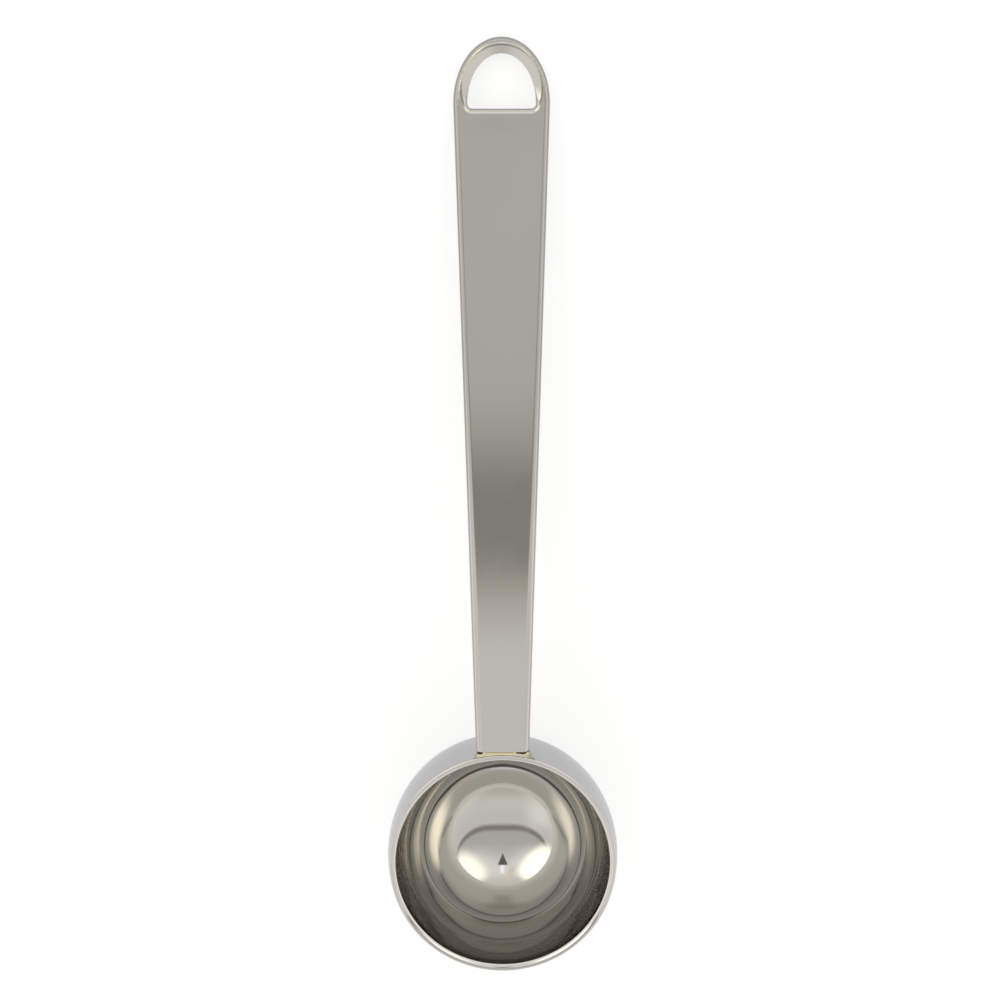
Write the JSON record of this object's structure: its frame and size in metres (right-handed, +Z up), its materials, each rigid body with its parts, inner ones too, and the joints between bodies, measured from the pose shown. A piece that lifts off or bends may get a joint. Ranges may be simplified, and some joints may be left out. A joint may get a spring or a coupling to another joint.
{
  "type": "measuring spoon",
  "caption": "Long-handled measuring spoon: a deep round cup of polished stainless steel, brazed to a flat strap handle that ends in a D-shaped hanging eye.",
  "frame": {"origin": "on the surface that the spoon lies on, under the middle of its length and on its mirror plane", "axes": "+Z up from the surface; +Y from the bowl towards the tip of the handle; X across. The spoon is at rest on the bottom of its bowl and the tip of its handle, so the lip's plane and the handle's front face lean 10.0 degrees down towards +Y"},
  "size_m": [0.0444, 0.1756, 0.0336],
  "materials": {
    "bowl_steel": "mirror-polished 18/10 stainless steel, drawn and spun",
    "handle_steel": "belt-polished 18/10 stainless steel with a soft mirror",
    "braze_brass": "brass filler, as it set, lightly buffed"
  },
  "bodies": {
    "root": {"bowl": "bowl_steel", "handle": "handle_steel", "braze_seam": "braze_brass"}
  },
  "joints": []
}
